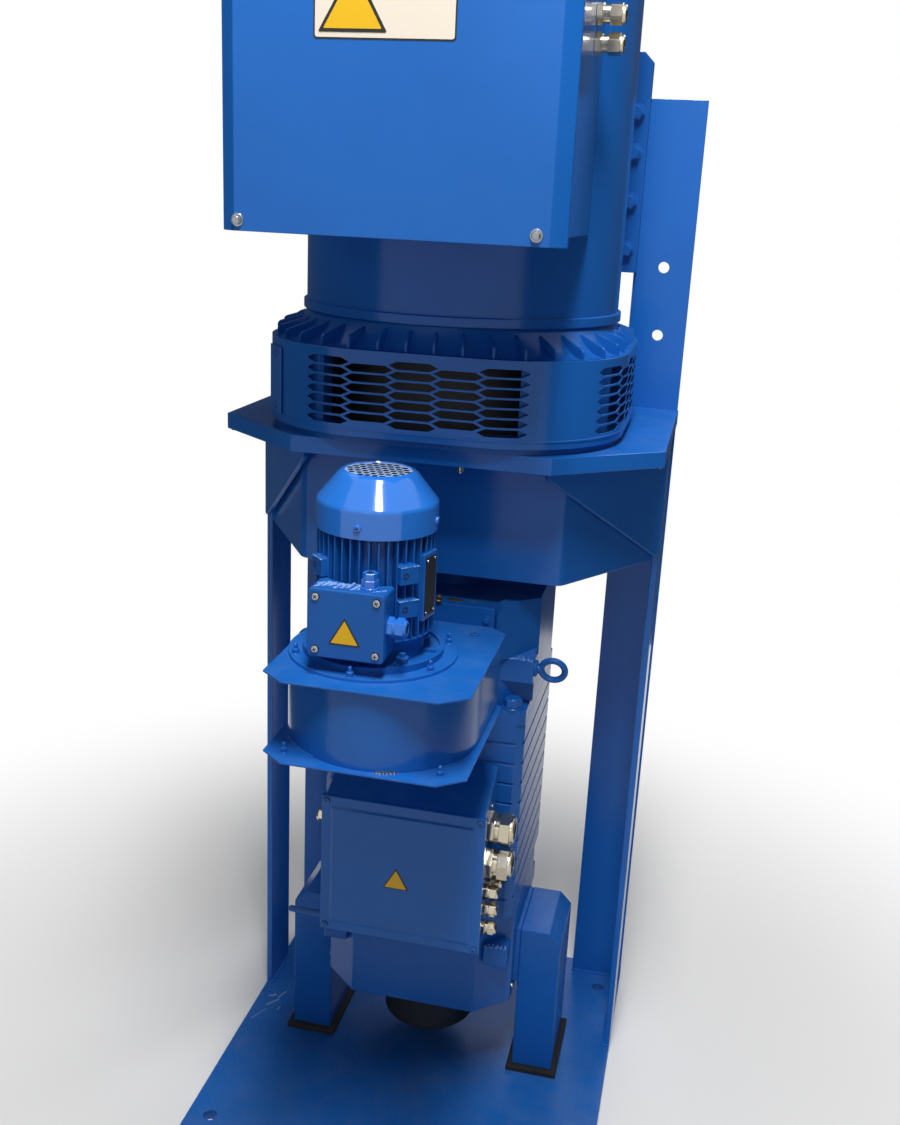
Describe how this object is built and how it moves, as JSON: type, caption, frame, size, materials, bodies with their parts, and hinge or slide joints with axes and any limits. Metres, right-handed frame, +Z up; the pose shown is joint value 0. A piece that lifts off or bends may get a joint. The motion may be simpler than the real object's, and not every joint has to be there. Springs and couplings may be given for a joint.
{
  "type": "electric generator",
  "caption": "Vertical motor-generator set: a round screened generator on a deck plate over a square drive motor with its own radial blower, on a welded frame.",
  "frame": {"origin": "point below the shaft axis on the underside of the base plate", "axes": "+Z up along the shaft axis, -Y towards the front with the terminal boxes and the blower, +X to the right seen from the front"},
  "size_m": [0.724, 0.853, 2.18],
  "materials": {
    "bare_steel": "turned steel",
    "black_pad": "black rubber pad",
    "black_plastic": "black plastic",
    "blue_enamel": "glossy blue machine enamel",
    "dark_iron": "dark unpainted iron",
    "nickel_brass": "nickel-plated brass"
  },
  "bodies": {
    "root": {"air_screen": "blue_enamel", "base_plate": "blue_enamel", "blower_bottom_plate": "blue_enamel", "blower_box": "blue_enamel", "blower_box_lid": "blue_enamel", "blower_cowl": "blue_enamel", "blower_duct": "blue_enamel", "blower_glands": "blue_enamel", "blower_impeller": "dark_iron", "blower_motor_flange": "blue_enamel", "blower_motor_frame": "blue_enamel", "blower_scroll": "blue_enamel", "blower_top_plate": "blue_enamel", "deck_plate": "blue_enamel", "drive_end_bracket": "blue_enamel", "drive_end_cage": "blue_enamel", "drive_end_core": "dark_iron", "end_shield": "blue_enamel", "eye_bolts": "blue_enamel", "foot_pads": "black_pad", "front_leg_left": "blue_enamel", "front_leg_right": "blue_enamel", "generator_casing": "blue_enamel", "generator_foot_left": "blue_enamel", "generator_foot_right": "blue_enamel", "gusset_left": "blue_enamel", "gusset_right": "blue_enamel", "main_box": "blue_enamel", "main_box_lid": "blue_enamel", "main_glands": "nickel_brass", "motor_foot_left": "blue_enamel", "motor_foot_right": "blue_enamel", "motor_lower_shield": "blue_enamel", "motor_stack": "blue_enamel", "motor_upper_shield": "blue_enamel", "rear_post_left": "blue_enamel", "rear_post_right": "blue_enamel", "rear_ties": "blue_enamel", "screen_strap": "blue_enamel", "shaft_coupling": "bare_steel", "skirt": "blue_enamel", "speed_sensor": "black_plastic", "supply_box": "blue_enamel", "supply_box_lid": "blue_enamel", "supply_glands": "nickel_brass"}
  },
  "joints": []
}
